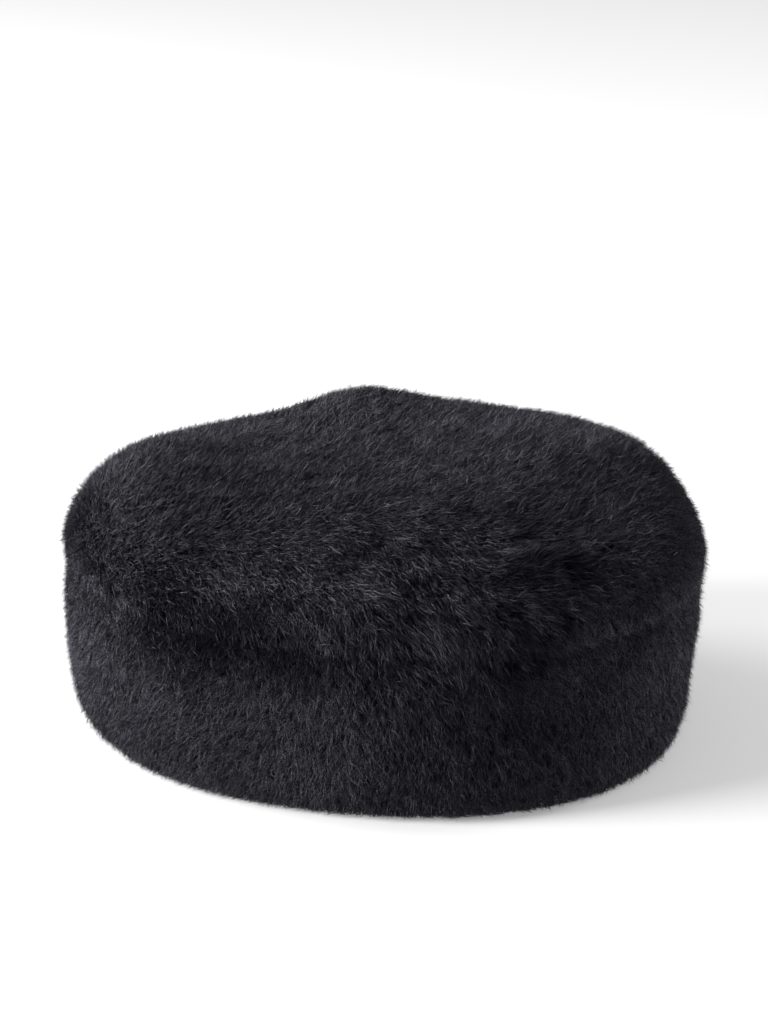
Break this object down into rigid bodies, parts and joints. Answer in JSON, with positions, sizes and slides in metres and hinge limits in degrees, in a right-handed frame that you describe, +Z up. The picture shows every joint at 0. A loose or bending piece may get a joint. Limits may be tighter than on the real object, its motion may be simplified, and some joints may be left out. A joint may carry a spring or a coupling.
{
  "type": "pillbox hat",
  "caption": "Pillbox hat of black sheepskin with the pile outside: a flat round tip sewn onto an upright side band, hollow and open below.",
  "frame": {"origin": "on the surface that the hem stands on, under the middle of the hat's box", "axes": "+Z up through the tip, -Y towards the side that the picture shows, +X to that view's right"},
  "size_m": [0.2298, 0.2308, 0.0962],
  "materials": {
    "sheepskin": "dense combed sheepskin pile, dyed black with a blue-grey cast, soft sheen on the hair, matt plain skin inside"
  },
  "bodies": {
    "root": {"crown_tip": "sheepskin", "side_band": "sheepskin"}
  },
  "joints": []
}
